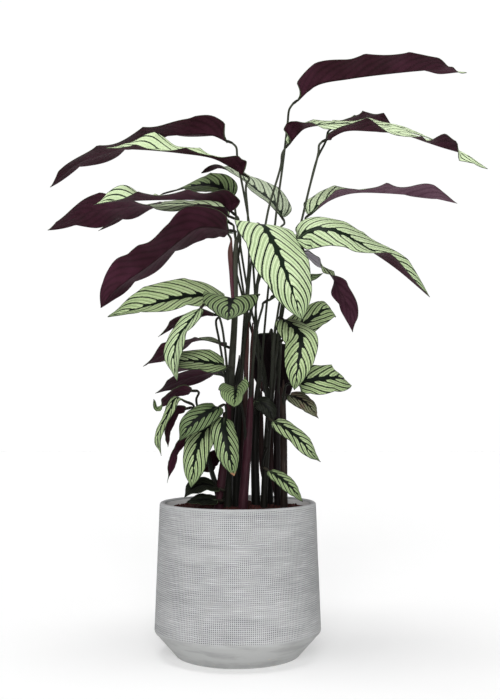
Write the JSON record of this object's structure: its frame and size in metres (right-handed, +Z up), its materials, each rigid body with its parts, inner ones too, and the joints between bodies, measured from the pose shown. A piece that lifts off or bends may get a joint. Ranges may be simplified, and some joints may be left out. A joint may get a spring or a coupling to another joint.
{
  "type": "potted white star calathea",
  "caption": "Tall leafy prayer plant with pale striped leaves, dark purple beneath, on thin upright stems in a round grey pot with a chamfered foot.",
  "frame": {"origin": "centre of the pot's underside, on the floor", "axes": "+Z up along the pot's axis, -Y towards the plant's front as pictured, +X to its right"},
  "size_m": [0.8221, 0.4623, 1.1309],
  "materials": {
    "pot": "matte, with a fine net pressed in",
    "soil": "matte and crumbly",
    "shoot": "satin",
    "blade": "satin"
  },
  "bodies": {
    "root": {"pot": "pot", "soil": "soil", "shoot_left": "shoot", "shoot_main": "shoot", "shoot_middle": "shoot", "shoot_front": "shoot", "shoot_centre": "shoot", "shoot_right": "shoot", "shoot_far_right": "shoot", "shoot_edge": "shoot", "shoot_back_left": "shoot", "shoot_back_right": "shoot", "leaf_01": "blade", "leaf_02": "blade", "leaf_03": "blade", "leaf_04": "blade", "leaf_05": "blade", "leaf_06": "blade", "leaf_07": "blade", "leaf_08": "blade", "leaf_09": "blade", "leaf_10": "blade", "leaf_11": "blade", "leaf_12": "blade", "leaf_13": "blade", "leaf_14": "blade", "leaf_15": "blade", "leaf_16": "blade", "leaf_17": "blade", "leaf_18": "blade", "leaf_19": "blade", "leaf_20": "blade", "leaf_21": "blade", "leaf_22": "blade", "leaf_23": "blade", "leaf_24": "blade", "leaf_25": "blade", "leaf_26": "blade", "leaf_27": "blade", "leaf_28": "blade", "leaf_29": "blade", "leaf_30": "blade", "leaf_31": "blade", "leaf_32": "blade", "leaf_33": "blade", "leaf_34": "blade", "leaf_35": "blade", "leaf_36": "blade", "leaf_37": "blade", "leaf_38": "blade", "leaf_39": "blade", "leaf_40": "blade", "leaf_41": "blade", "leaf_42": "blade", "leaf_43": "blade", "leaf_44": "blade", "leaf_45": "blade", "leaf_46": "blade", "leaf_47": "blade", "leaf_48": "blade"}
  },
  "joints": []
}
